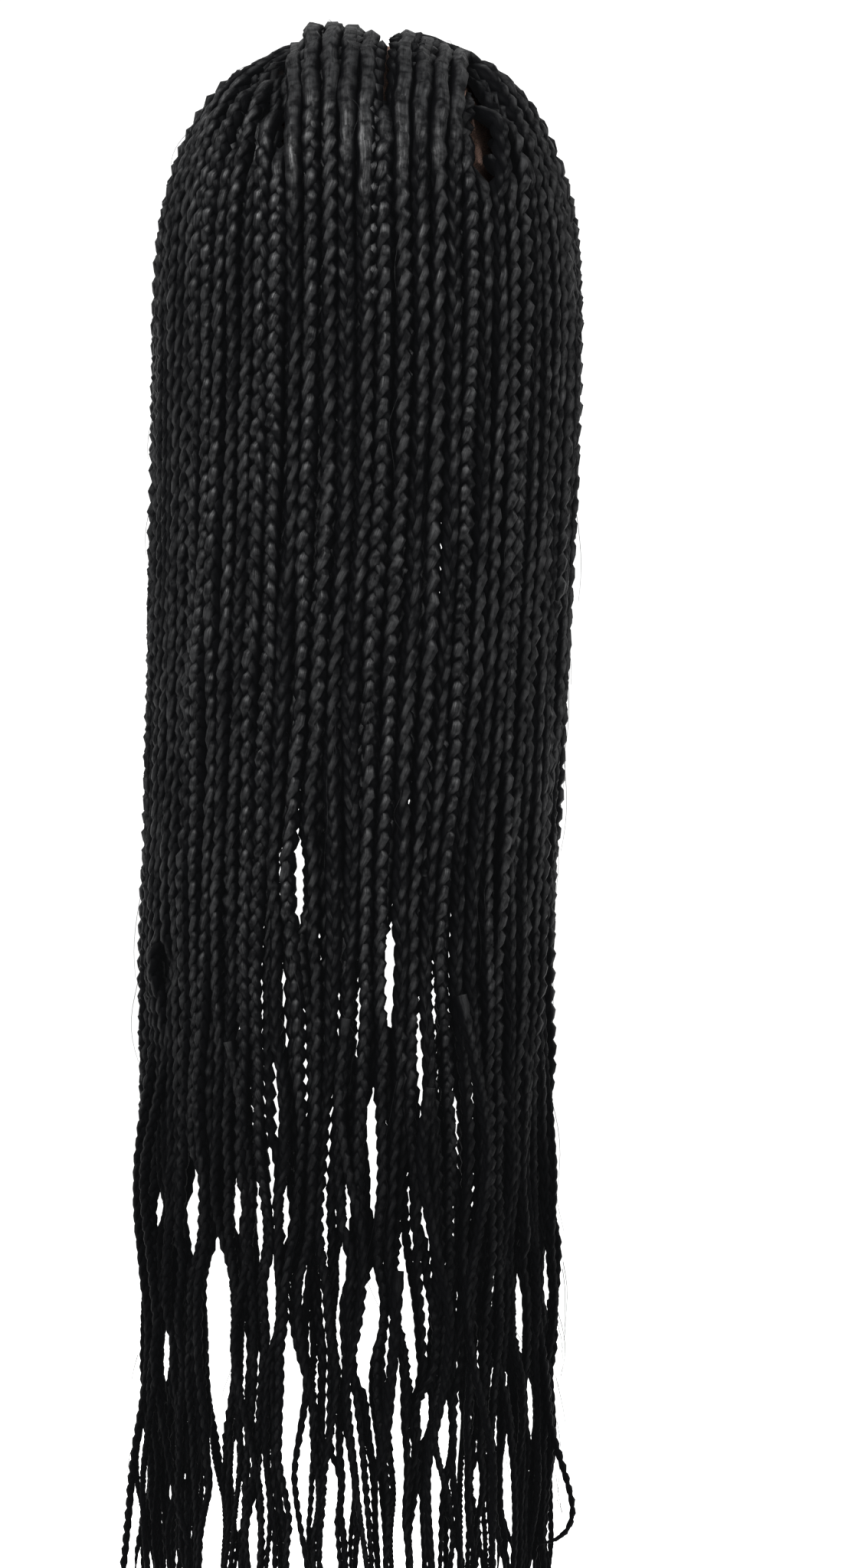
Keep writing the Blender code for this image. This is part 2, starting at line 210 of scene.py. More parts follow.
# How far a braid strays sideways from its route, by waves of its own
STRAY_TOP = 0.0004
STRAY_TIP = 0.0022
STRAY_FROM = 0.10  # the drop below which it strays more and more
STRAY_WAVES = (0.26, 0.12, 0.055)
STRAY_STRETCH = (0.8, 1.25)
LOOSE_FROM = 0.52  # below this drop some braids stray more than others
LOOSE_TIP = (0.5, 2.3)
# How much each layer strays, as a factor, and how far its flat sides turn, in radians
CROWN_STRAYS, CROWN_SWING = 1.0, 0.5
ROW_STRAYS, ROW_SWING = 1.2, 0.5
MIDDLE_STRAYS, MIDDLE_SWING = 1.3, 0.6

# The layer in the grooves between the crown braids
MIDDLE_INSET = 0.0055
MIDDLE_BROADER = 1.14  # than the crown braids, so that no light shows through the grooves
MIDDLE_SHORTER = 0.006
MIDDLE_ROLL = 0.008
MIDDLE_START = 0.06  # the share of its way over the dome at which a braid starts
# Columns that start at another share: under the parting, and lower where the lace shows
MIDDLE_STARTS = {0.5: 0.02, 6.5: 0.93, 7.5: 0.94, 8.5: 0.93}
MIDDLE_ROOM = 3.2  # the most a braid is wide at its start, in distances to the next column
MIDDLE_BESIDE = 10  # beside the top group it runs straight back, up to this far from the parting
MIDDLE_BESIDE_INSET = 0.0012
MIDDLE_BESIDE_FRONT = 0.3  # how far forward those start, as a share of HAIR_HALF_DEPTH
# The braid under the parting: how deep it lies and how wide it is there, and how deep it is
# once it has risen between these shares of its way
PARTING_FILL_INSET = 0.0092
PARTING_FILL_WIDTH = 0.0066
PARTING_FILL_RISEN = 0.0020
PARTING_FILL_SHARES = (0.38, 0.60)

# The braid that runs down the outline on the right of the crown
EDGE_FROM_X, EDGE_TO_X = 0.027, 0.1040
EDGE_BOW = 0.85  # below 1, x grows faster at first
EDGE_BACK = (-0.10, -0.34)  # shares of HAIR_HALF_DEPTH
EDGE_SUNK = 0.0006
EDGE_WIDTHS = (0.55, 1.05)  # shares of PLAIT_WIDTH
EDGE_WIDE_FROM = 0.25  # the share of its way at which it reaches its full width
EDGE_INSET = 0.002
EDGE_LENGTH = 0.30
EDGE_ALONG = 0.15  # its distance from the middle of the back, along the hang line
EDGE_ROLL, EDGE_SWING = 0.02, 0.4

# The rows under the crown
ROW_ROLL = 0.01
BAND_STEPS = 60
BAND_UV_STEP = 0.03
BAND_RELIEF = (0.3, 0.5)  # how far it stands out and its tone, as in plait()
STRAY_SWING = 0.5

# The photograph's framing: 0.40 mm a pixel at the middle of the hair
PIXEL = 0.0004
IMAGE_WIDE, IMAGE_HIGH = 1120, 2048
AXIS_PIXEL_X, ORIGIN_PIXEL_Y = 480, 66
CAMERA_AWAY = 3.2
SENSOR_WIDE = 36.0
CAMERA_X = (IMAGE_WIDE / 2 - AXIS_PIXEL_X) * PIXEL
CAMERA_Z = (ORIGIN_PIXEL_Y - IMAGE_HIGH / 2) * PIXEL

# Braids that leave the curtain near the tips, as they run in the photograph
STRAYS = (
    {
        "pixels": ((214, 1290), (200, 1380), (186, 1470), (178, 1560), (186, 1650), (197, 1740),
                   (189, 1830), (174, 1900), (170, 1960), (164, 2020), (158, 2080)),
        "depth": (-0.030, -0.045),
        "width": (0.0070, 0.0040),
    },
    {
        "pixels": ((226, 1330), (205, 1440), (184, 1530), (196, 1640), (208, 1760), (196, 1850),
                   (184, 1930), (188, 2010), (196, 2090)),
        "depth": (-0.050, -0.060),
        "width": (0.0068, 0.0036),
    },
    {
        "pixels": ((694, 1260), (708, 1370), (718, 1470), (723, 1560), (714, 1630), (727, 1695),
                   (716, 1770), (700, 1840), (712, 1930), (704, 2010), (716, 2090)),
        "depth": (-0.020, -0.040),
        "width": (0.0070, 0.0038),
    },
    {
        "pixels": ((690, 1640), (702, 1730), (712, 1800), (716, 1860), (736, 1920), (751, 1975),
                   (740, 2006), (716, 2016), (700, 2018)),
        "depth": (-0.035, -0.060),
        "width": (0.0058, 0.0030),
    },
    {
        "pixels": ((520, 1660), (514, 1760), (505, 1870), (496, 1912), (490, 1938)),
        "depth": (-0.118, -0.124),
        "width": (0.0066, 0.0052),
    },
    {
        "pixels": ((408, 1640), (396, 1740), (402, 1810), (392, 1870), (382, 1925), (390, 1985),
                   (402, 2050), (404, 2095)),
        "depth": (-0.105, -0.112),
        "width": (0.0052, 0.0028),
    },
    {
        "pixels": ((300, 1360), (318, 1460), (332, 1560), (320, 1660), (300, 1750), (318, 1850),
                   (342, 1950), (338, 2085)),
        "depth": (-0.100, -0.106),
        "width": (0.0068, 0.0036),
    },
    {
        "pixels": ((452, 1330), (438, 1430), (452, 1530), (476, 1620), (470, 1720), (448, 1820),
                   (462, 1930), (484, 2085)),
        "depth": (-0.120, -0.118),
        "width": (0.0070, 0.0036),
    },
    {
        "pixels": ((600, 1300), (622, 1400), (640, 1500), (628, 1600), (604, 1700), (620, 1800),
                   (646, 1900), (640, 2085)),
        "depth": (-0.104, -0.108),
        "width": (0.0070, 0.0036),
    },
    {
        "pixels": ((560, 1420), (548, 1520), (566, 1620), (590, 1720), (580, 1820), (556, 1920),
                   (566, 2085)),
        "depth": (-0.116, -0.118),
        "width": (0.0068, 0.0036),
    },
)

# Gaps that open between bunches of braids near the tips: (x, y) of the top and bottom of each
# in the photograph's pixels, and half its breadth
PARTS = (
    ((213, 1535), (204, 1625), 3),
    ((257, 1470), (251, 1690), 4),
    ((220, 1700), (215, 1840), 3),
    ((184, 1830), (190, 1990), 5),
    ((311, 1520), (314, 1630), 2),
    ((286, 1550), (290, 1930), 13),
    ((288, 1880), (262, 2200), 12),
    ((352, 1620), (356, 1780), 3),
    ((371, 1520), (375, 1640), 2),
    ((399, 1630), (402, 1740), 3),
    ((392, 1755), (378, 1990), 15),
    ((380, 1950), (392, 2200), 7),
    ((446, 1600), (449, 1706), 3),
    ((487, 1630), (484, 1794), 8),
    ((518, 1720), (510, 1900), 7),
    ((553, 1560), (553, 1628), 3),
    ((540, 1755), (540, 1816), 4),
    ((554, 1800), (556, 1890), 6),
    ((577, 1780), (580, 1950), 6),
    ((621, 1880), (623, 1990), 3),
    ((660, 1845), (663, 2040), 4),
    ((679, 1640), (675, 1800), 3),
    ((689, 1760), (694, 1910), 3),
    ((718, 1560), (711, 1750), 4),
    ((438, 1880), (430, 2010), 6),
    ((470, 1960), (476, 2200), 5),
    ((520, 1930), (526, 2200), 6),
)
PART_RUN = 0.40  # the share of a gap's length over which it opens, and closes

# Single fibres that stand off the braids
FLYAWAYS = 190
FIBRE_RADIUS = 0.00016
FIBRE_TIP = 0.4  # share of the radius that is left at the end
FIBRE_SIDES = 3
FIBRE_POINTS = 9
FIBRE_OUT = (0.3, -0.9, 0.31)  # any direction that no fibre runs along
FIBRE_RELIEF = (0.4, 0.5)
FLYAWAY_LENGTH = (0.018, 0.060)
FLYAWAY_OFF = (0.0045, 0.0085)  # how far they stand off a braid's middle
FLYAWAY_LOWER = 1.6  # above 1, more of them are near the tips
FLYAWAY_BOWS = (0.55, 1.0)  # how much of its bow a fibre goes through
FLYAWAY_START = 0.45  # share of its distance that a fibre has at the start of its bow
FLYAWAY_CURL = 0.15

# Surfaces and light
FIBRE_STRETCH = (26.0, 5.0, 1.0)
# The hair's base colour, from painted shade in the grooves between lobes to painted highlight on
# their crests
HAIR_SHADED_TO_LIT_TINTS = ((0.0006, 0.0006, 0.0008, 1), (0.0028, 0.0030, 0.0035, 1))
HAIR_ROUGHNESS = ((0.60, 0.60, 0.60, 1), (0.42, 0.42, 0.42, 1))
HAIR_GLOW = (0.88, 0.93, 1.0, 1)  # a trace of light in the hair, for the photo's black level
HAIR_GLOW_STRENGTH = 0.0056
PATCHES_SCALE = 210.0
# Factors of the shine, which is painted light that sets the hair's base colour and specular level:
# the values between which each grows, and the least that it is
# Painted shade in the grooves and painted highlight on the crests, by how far a vertex stands out
CREST_PAINTED_LIGHT = (0.20, 0.48, 0.0)
PATCHY_SHINE = (0.34, 0.62, 0.15)
STREAKY_SHINE = (0.36, 0.60, 0.35)
LOW_SHINE = (-0.60, -0.44, 0.22)  # by height, so that the hair near the tips is duller
SPECULAR = (0.012, 0.36)  # at no shine and at the full one
LACE_SCALE = 900.0
LACE_TINTS = ((0.24, 0.15, 0.115, 1), (0.070, 0.043, 0.034, 1))
FLOOR_TINTS = ((0.93, 0.93, 0.93, 1), (0.96, 0.96, 0.96, 1))
FLOOR_DROP = 0.93
FLOOR_SIZE = 60
WORLD_STRENGTH = 1.12
GAMMA = 0.85
LIGHTS = (  # name, place, aim, size, power
    ("key", (-1.0, -1.4, 1.2), (0, 0, -0.15), (0.5, 0.5), 150),
    ("fill", (1.5, -1.1, 0.9), (0, 0, -0.25), (0.6, 0.6), 66),
)

random = np.random.RandomState(7)


def ease(share):
    """A share from 0 to 1 that starts and ends gently."""
    share = np.clip(share, 0.0, 1.0)
    return share * share * (3 - 2 * share)


def mix(low, high, share):
    return low + (high - low) * share


def rise_and_fall(value, begin, whole, fade, end):
    """A share that rises from begin to whole, and falls again from fade to end."""
    rising = ease((value - begin) / (whole - begin))
    falling = ease((end - value) / (end - fade))
    return np.minimum(rising, falling)


def unit(vectors):
    """The vectors at length one."""
    return vectors / np.linalg.norm(vectors, axis=1)[:, None]


def run_along(places):
    """How far along the way through all the places each of them lies."""
    steps = np.linalg.norm(np.diff(places, axis=0), axis=1)
    return np.concatenate([[0.0], np.cumsum(steps)])


def resampled(places, run, at):
    """The places on the way at other distances along it."""
    return np.stack([np.interp(at, run, own) for own in np.transpose(places)], 1)


# Routes, from the part's formulas


def dome_height(radius):
    return max(1 - min(radius, 1.0) ** DOME_POWER, 0.0) ** (1 / DOME_POWER)


def on_dome(side, back):
    """The dome's point over a place given in shares of its half breadth and half depth."""
    unit_height = dome_height(math.hypot(side, back))
    x = HAIR_HALF_BREADTH * side
    dip = unit_height * sum(
        depth * math.exp(-(((x - middle) / half) ** 2)) for middle, half, depth in SHOULDER_DIPS
    )
    high = (HAIR_RISE + HAIR_WIDEST_DROP) * unit_height
    return Vector((x, HAIR_HALF_DEPTH * back, high - HAIR_WIDEST_DROP - dip))


def along_hang_line(length):
    """The angle from the middle of the back to a distance along the hair's widest line."""
    angle, done = 0.0, 0.0
    while done < abs(length):
        middle = angle + HANG_LINE_STEP / 2
        pace = math.hypot(HAIR_HALF_BREADTH * math.cos(middle), HAIR_HALF_DEPTH * math.sin(middle))
        angle += min(HANG_LINE_STEP, (abs(length) - done) / pace)
        done += pace * HANG_LINE_STEP
    return math.copysign(angle, length)


def column_length(column):
    """A column's distance from the middle of the back, along the hang line."""
    size = abs(column)
    run = min(size, BACK_COLUMNS) * BACK_PITCH + max(size - BACK_COLUMNS, 0) * FRONT_PITCH
    return math.copysign(run, column)


LAST_COLUMN = BACK_COLUMNS + FRONT_COLUMNS
COLUMN_ANGLES = {}


def column_angle(column):
    if column not in COLUMN_ANGLES:
        COLUMN_ANGLES[column] = along_hang_line(column_length(column))
    return COLUMN_ANGLES[column]


def width_at(drop, full):
    """A braid's width at a drop: full at the top, thin at the tip."""
    share = (drop - THIN_FROM) / (HAIR_LENGTH - THIN_FROM)
    return mix(full, PLAIT_TIP, min(max(share, 0.0), 1.0) ** THIN_POWER)


def settled(side, back, inset, length, drop):
    """(x, y) of a braid below the dome, where the hair draws together and sways a little."""
    share = float(ease((drop - HAIR_WIDEST_DROP) / HANG_SETTLES))
    scale = 1 - HANG_NARROWS * share
    wide = (HAIR_HALF_BREADTH - inset) * scale
    deep = (HAIR_HALF_DEPTH - inset) * scale
    sway = 0.0
    for across, down, phase, size in WAVE_LENGTHS:
        sway += size * math.sin(2 * math.pi * (length / across + drop / down) + phase)
    sway *= WAVE * float(ease((drop - HAIR_WIDEST_DROP) / (HAIR_LENGTH - HAIR_WIDEST_DROP)))
    return wide * side + HANG_DRIFT * share - sway * back, deep * back + sway * side


def column_x(column, drop):
    angle = column_angle(column)
    return settled(math.sin(angle), -math.cos(angle), 0.0, column_length(column), drop)[0]


def hang(side, back, inset, length, drop, width):
    """A point of a braid below the dome, moved aside where a slit opens."""
    x, y = settled(side, back, inset, length, drop)
    for column, top_share, bottom_share, half in SLITS:
        top, bottom = top_share * HAIR_LENGTH, bottom_share * HAIR_LENGTH
        if top < drop < bottom:
            run = SLIT_RUN * (bottom - top)
            opened = float(rise_and_fall(drop, top, top + run, bottom - run, bottom))
            middle = (column_x(column, drop) + column_x(column + 1, drop)) / 2
            clear = (half * SOLID_WIDTH + width / 2) * opened
            away = x - middle
            x = middle + math.copysign((away**4 + clear**4) ** 0.25, away)
    return Vector((x, y, -drop))


def hanging(angle, length, inset, full, drops):
    """(points, widths) of a braid below the dome."""
    side, back = math.sin(angle), -math.cos(angle)
    widths = [width_at(float(drop), full) for drop in drops]
    points = [
        hang(side, back, inset, length, float(drop), width) for drop, width in zip(drops, widths)
    ]
    return points, widths


def in_top_group(column):
    return abs(column - PARTING_COLUMN) < TOP_COLUMNS


def root(column):
    """(x, y) of a column's root, seen from above."""
    away = column - PARTING_COLUMN
    if in_top_group(column):
        across = abs(away) * BACK_PITCH
        y = PARTING_END_Y if abs(away) < 1 else TOP_FRONT_Y
    else:
        forward = (abs(away) - TOP_COLUMNS) / (LAST_COLUMN - TOP_COLUMNS)
        from_end = min(forward, 1 - forward)
        tuck = float(ease(from_end / SIDE_TUCK_SHARE))
        apart = mix(SIDE_ROOTS_APART, -SIDE_ROOTS_TUCK, tuck)
        across = (TOP_COLUMNS - PARTING_COLUMN) * BACK_PITCH + apart
        y = mix(SIDE_ROOTS_BACK_Y, SIDE_ROOTS_FRONT_Y, forward)
    return PARTING_X + math.copysign(PARTING_HALF_WIDTH + across, away), y


def lift_of(lifts, column):
    """A column's lift, or the mean of its neighbours' for a braid between two columns."""
    return (lifts.get(math.floor(column), 0.0) + lifts.get(math.ceil(column), 0.0)) / 2


def dome_point(column, share):
    """A point on a column's way over the dome, from its root to the hang line."""
    x, y = root(column)
    angle = column_angle(column)
    side = mix(x / HAIR_HALF_BREADTH, math.sin(angle), share)
    back = mix(y / HAIR_HALF_DEPTH, -math.cos(angle), share)
    place = on_dome(side, back)
    place.z += lift_of(TOP_LIFTS, column) * float(rise_and_fall(share, *TOP_LIFT_SHARES))
    return place


DOME_LINES = {}


def dome_line(column):
    if column not in DOME_LINES:
        steps = range(SPACING_STEPS + 1)
        DOME_LINES[column] = [dome_point(column, step / SPACING_STEPS) for step in steps]
    return DOME_LINES[column]


def spacing(column, share):
    """Distance from a column to the nearer of its neighbours."""
    here = dome_point(column, share)
    found = []
    for other in (column - 1, column + 1):
        line = dome_line(other)
        for one, next_one in zip(line, line[1:]):
            nearest, along = intersect_point_line(here, one, next_one)
            if 0 <= along <= 1:
                found.append((nearest - here).length)
            found.append((one - here).length)
        found.append((line[-1] - here).length)
    return min(found)


def start_share(column):
    """Where a column starts: every fourth one highest, the others where there is room."""
    if in_top_group(column):
        apart, needed = 1, SOLID_WIDTH + GAP
    elif column % 2:
        apart, needed = 1, (SOLID_WIDTH + ROOT_WIDTH) / 2 + GAP
    elif column % 4:
        apart, needed = 2, SOLID_WIDTH + GAP
    else:
        apart, needed = 4, SOLID_WIDTH + GAP
    share = FIRST_SHARE
    while apart * spacing(column, share) < needed and share < LAST_START_SHARE:
        share += SHARE_STEP
    return share


def out_of_dome(place):
    """The direction away from the head at a point of the hair's dome or curtain."""
    side, back = place.x / HAIR_HALF_BREADTH, place.y / HAIR_HALF_DEPTH
    flat = max(math.hypot(side, back), 1e-6) ** (DOME_POWER - 2)
    high = max((place.z + HAIR_WIDEST_DROP) / (HAIR_RISE + HAIR_WIDEST_DROP), 0.0)
    out = Vector(
        (
            flat * side / HAIR_HALF_BREADTH,
            flat * back / HAIR_HALF_DEPTH,
            high ** (DOME_POWER - 1) / (HAIR_RISE + HAIR_WIDEST_DROP),
        )
    )
    return out.normalized()


def outward_of(places):
    return np.array([out_of_dome(Vector(place)) for place in places])


def to_cap(place, cap_surface):
    """(direction, distance) from a place to the nearest point of the cap."""
    nearest, _, _, distance = cap_surface.find_nearest(place)
    return (nearest - place).normalized(), distance


def settled_crown(column, place):
    """A dome point with the uneven outline of the crown and the gap over the lace."""
    place = place.copy()
    if in_top_group(column) or column == -TOP_COLUMNS:
        shown = rise_and_fall(place.y, *LOOK_LIFT_Y)
        place.z += lift_of(LOOK_LIFTS, column) * float(shown)
    else:
        high = ease((place.z + HAIR_WIDEST_DROP) / HAIR_WIDEST_DROP)
        for centre, half, depth in LOOK_DIPS:
            away = (place.x - centre) / half
            place.z -= depth * float(high) * math.exp(-away * away)
    if column in LACE_GAP_MOVES and place.y < 0:
        place.x += LACE_GAP_MOVES[column] * float(rise_and_fall(-place.z, *LACE_GAP))
    return place


def crown_route(column, cap_surface):
    """(points, widths) of a crown braid from root to tip, close together."""
    start = start_share(column)
    points, widths = [], []
    run = 0.0
    before = dome_point(column, start)
    for share in np.linspace(start, 1.0, CROWN_DOME_POINTS):
        place = dome_point(column, float(share))
        run += (place - before).length
        before = place
        lift = float(ease(run / ROOT_RISE))
        width = mix(ROLL_START, PLAIT_WIDTH, min(ROLL_WIDENS * lift, 1.0))
        if column % 2 and not in_top_group(column):
            room = 2 * (spacing(column, float(share)) - GAP) - SOLID_WIDTH
            width = min(width, max(room, 0.0) + ROLL_SQUEEZE)
        width = max(width, ROOT_WIDTH)
        inward, distance = to_cap(place, cap_surface)
        depth = (distance - GAP - width / 2) * (1 - lift)
        points.append(settled_crown(column, place) + inward * depth)
        widths.append(width)
    tip = HAIR_LENGTH + TIP_SPREAD * math.sin(CROWN_TIP_TURN * column)
    drops = np.linspace(HAIR_WIDEST_DROP, tip, CROWN_HANG_POINTS)[1:]
    hung = hanging(column_angle(column), column_length(column), 0.0, PLAIT_WIDTH, drops)
    return points + hung[0], widths + hung[1]


def middle_point(column, share, beside):
    """A point of the middle layer on the dome: beside the crown it runs straight back."""
    if not beside:
        return settled_crown(column, dome_point(column, share))
    away = column - PARTING_COLUMN
    across = PARTING_HALF_WIDTH + abs(away) * BACK_PITCH if away else 0.0
    x = PARTING_X + math.copysign(across, away)
    angle = column_angle(column)
    side = mix(x / HAIR_HALF_BREADTH, math.sin(angle), share)
    back = mix(MIDDLE_BESIDE_FRONT, -math.cos(angle), share)
    return settled_crown(column, on_dome(side, back))


def middle_route(column, cap_surface):
    """(points, widths) of a braid of the layer that shows between the crown braids."""
    points, widths = [], []
    run = 0.0
    start = MIDDLE_STARTS.get(column, MIDDLE_START)
    away = abs(column - PARTING_COLUMN)
    beside = away == 0 or TOP_COLUMNS < away < MIDDLE_BESIDE
    before = middle_point(column, start, beside)
    for share in np.linspace(start, 1.0, MIDDLE_DOME_POINTS):
        place = middle_point(column, float(share), beside)
        run += (place - before).length
        before = place
        lift = float(ease(run / ROOT_RISE))
        room = PLAIT_WIDTH if beside else MIDDLE_ROOM * spacing(column, float(share))
        width = min(mix(ROLL_START, PLAIT_WIDTH, lift), max(room, ROOT_WIDTH))
        inward, distance = to_cap(place, cap_surface)
        reach = max(distance - GAP - width / 2, 0.0)
        under = MIDDLE_INSET
        if beside:
            under = mix(MIDDLE_BESIDE_INSET, MIDDLE_INSET, float(ease(share)))
        depth = reach * (1 - lift) + min(under, reach) * lift
        if away == 0:
            low, high = PARTING_FILL_SHARES
            risen = float(ease((share - low) / (high - low)))
            depth = mix(PARTING_FILL_INSET, PARTING_FILL_RISEN, risen)
            width = mix(PARTING_FILL_WIDTH, PLAIT_WIDTH, risen)
        points.append(place + inward * depth)
        widths.append(width)
    tip = HAIR_LENGTH - MIDDLE_SHORTER + TIP_SPREAD * math.sin(MIDDLE_TIP_TURN * column)
    drops = np.linspace(HAIR_WIDEST_DROP, tip, UNDER_HANG_POINTS)[1:]
    full = MIDDLE_BROADER * PLAIT_WIDTH
    hung = hanging(column_angle(column), column_length(column), MIDDLE_INSET, full, drops)
    return points + hung[0], widths + hung[1]


def edge_route():
    """(points, widths) of the braid that lies along the outline on the right of the crown."""
    points, widths = [], []
    for share in np.linspace(0.0, 1.0, EDGE_DOME_POINTS):
        x = mix(EDGE_FROM_X, EDGE_TO_X, float(share) ** EDGE_BOW)
        place = on_dome(x / HAIR_HALF_BREADTH, mix(*EDGE_BACK, float(share)))
        points.append(place - out_of_dome(place) * EDGE_SUNK)
        widths.append(PLAIT_WIDTH * mix(*EDGE_WIDTHS, min(float(share) / EDGE_WIDE_FROM, 1.0)))
    side, back = EDGE_TO_X / HAIR_HALF_BREADTH, EDGE_BACK[1]
    for drop in np.linspace(HAIR_WIDEST_DROP, EDGE_LENGTH, EDGE_HANG_POINTS)[1:]:
        points.append(hang(side, back, EDGE_INSET, EDGE_ALONG, float(drop), PLAIT_WIDTH))
        widths.append(PLAIT_WIDTH)
    return points, widths


def pixel_size(depth):
    """How much of a plane at a depth one pixel of the photograph covers."""
    return PIXEL * (CAMERA_AWAY + depth) / CAMERA_AWAY


def seen_x(pixel, depth):
    """x of what the camera sees at a depth in a column of pixels."""
    return CAMERA_X + (pixel - IMAGE_WIDE / 2) * pixel_size(depth)


def stray_route(stray):
    """(points, widths) of a braid that strays from the curtain, from places in the photo."""
    pixels = np.array(stray["pixels"], float)
    run = run_along(pixels)
    smooth = resampled(pixels, run, np.linspace(0.0, run[-1], STRAY_POINTS))
    for _ in range(STRAY_SMOOTHINGS):
        smooth[1:-1] = (smooth[:-2] + 2 * smooth[1:-1] + smooth[2:]) / 4
    depth = np.linspace(*stray["depth"], len(smooth))
    z = CAMERA_Z + (IMAGE_HIGH / 2 - smooth[:, 1]) * pixel_size(depth)
    places = np.stack([seen_x(smooth[:, 0], depth), depth, z], 1)
    return places, np.linspace(*stray["width"], len(smooth))


def row_root(angle, out, drop):
    """A point off the cap's outside, at an angle round it and a drop."""
    share = dome_height(max(CAP_DEPTH - drop, 0.0) / CAP_DEPTH)
    wide = CAP_HALF_BREADTH * share + CAP_WALL + out
    deep = CAP_HALF_LENGTH * share + CAP_WALL + out
    return Vector((wide * math.sin(angle), -deep * math.cos(angle), -drop))


def row_route(angle, tip):
    """(points, widths) of a braid that starts under a row's band and hangs under the crown."""
    side, back = math.sin(angle), -math.cos(angle)
    length = math.copysign(abs(angle) * (HAIR_HALF_BREADTH + HAIR_HALF_DEPTH) / 2, angle)
    start = ROW_LEVEL - BAND_HEIGHT / 4
    out = GAP + BAND_WALL + ROOT_WIDTH / 4
    points, widths = [], []
    for share in np.linspace(0.0, 1.0, ROW_ROOT_POINTS):
        drop = start + ROW_RUN * float(share)
        near = row_root(angle, out, drop)
        far = hang(side, back, ROW_INSET, length, max(drop, HAIR_WIDEST_DROP), PLAIT_WIDTH)
        swing = float(ease(share))
        points.append(Vector((mix(near.x, far.x, swing), mix(near.y, far.y, swing), -drop)))
        widths.append(mix(ROOT_WIDTH, PLAIT_WIDTH, swing))
    drops = np.linspace(start + ROW_RUN, tip, UNDER_HANG_POINTS)[1:]
    hung = hanging(angle, length, ROW_INSET, PLAIT_WIDTH, drops)
    return points + hung[0], widths + hung[1]


# Routes moved by their own waves, and apart where the photo has gaps


def strayed(points, size):
    """The points moved a little sideways and outwards, each braid by its own slow waves."""
    places = np.array(points)
    drop = np.clip(-places[:, 2], 0.0, HAIR_LENGTH)
    lower = ease((drop - STRAY_FROM) / (HAIR_LENGTH - STRAY_FROM))
    reach = size * mix(STRAY_TOP, STRAY_TIP, lower)
    loose = random.uniform(*LOOSE_TIP)
    reach = reach * mix(1.0, loose, ease((drop - LOOSE_FROM) / (HAIR_LENGTH - LOOSE_FROM)))
    for axis in (0, 1):
        for wave in STRAY_WAVES:
            turn = random.uniform(0, 2 * math.pi)
            stretch = random.uniform(*STRAY_STRETCH)
            share = wave / STRAY_WAVES[0]
            places[:, axis] += reach * share * np.sin(2 * math.pi * drop / (wave * stretch) + turn)
    return places


def parted(places, widths):
    """The places moved aside where a gap opens between two bunches of braids."""
    places = places.copy()
    rows_down = IMAGE_HIGH / 2 - (places[:, 2] - CAMERA_Z) / pixel_size(places[:, 1])
    for (top_x, top), (bottom_x, bottom), half in PARTS:
        inside = (rows_down > top) & (rows_down < bottom) & (places[:, 2] < -HAIR_WIDEST_DROP)
        if inside.sum() < 2:
            continue
        at, depth = rows_down[inside], places[inside, 1]
        run = PART_RUN * (bottom - top)
        opened = rise_and_fall(at, top, top + run, bottom - run, bottom)
        middle = seen_x(np.interp(at, (top, bottom), (top_x, bottom_x)), depth)
        clear = (half * pixel_size(depth) + 0.5 * np.asarray(widths)[inside]) * opened
        away = places[inside, 0] - middle
        side = 1.0 if away.mean() > 0 else -1.0
        apart = np.maximum(away * side, 0.0)
        moved = (apart**4 + clear**4) ** 0.25
        places[inside, 0] = middle + side * np.where(away * side > 0, moved, clear + away * side)
    return places


def wandered(places):
    """The way over the top of the head with small waves sideways and up."""
    run = run_along(places)
    faded = ease((places[:, 2] + HAIR_WIDEST_DROP) / HAIR_WIDEST_DROP)
    moved = places.copy()
    for wave, reach in ROLL_WANDER:
        for axis, share in ((0, 1.0), (2, ROLL_WANDER_UP)):
            start = random.uniform(0, 2 * math.pi)
            moved[:, axis] += share * reach * faded * np.sin(2 * math.pi * run / wave + start)
    return moved


def roll_run(places):
    """Length of the smooth start of a braid that comes over the top of the head."""
    drop = random.uniform(*ROLL_DROPS)
    run = 0.0
    for here, there in zip(places, places[1:]):
        run += float(np.linalg.norm(there - here))
        if there[1] < 0 and there[2] < -drop:
            break
    return run


# Plaiting


def tube(core, out, radius_across, radius_deep, sides):
    """Rings of vertices round a core, with their depth along the out direction."""
    heading = unit(np.gradient(core, axis=0))
    beside = unit(np.cross(heading, out))
    above = np.cross(beside, heading)
    ring = np.arange(sides)[:, None] * 2 * math.pi / sides
    spread = np.cos(ring) * (beside * radius_across[:, None])[:, None, :]
    spread = spread + np.sin(ring) * (above * radius_deep[:, None])[:, None, :]
    return core[:, None, :] + spread


def tube_faces(count, sides):
    """Faces with four corners between the rings of a tube."""
    row = np.arange(count - 1)[:, None] * sides
    here = np.arange(sides)[None, :]
    there = (here + 1) % sides
    quads = np.stack([row + here, row + sides + here, row + sides + there, row + there], 2)
    return quads.reshape(-1, 4)


def across_braid(centre, outward, twist):
    """(side, out) directions across a braid, turned about it by the twist."""
    along = unit(np.gradient(centre, axis=0))
    side = unit(np.cross(along, outward))
    out = np.cross(side, along)
    cos, sin = np.cos(twist)[:, None], np.sin(twist)[:, None]
    return side * cos + out * sin, out * cos - side * sin


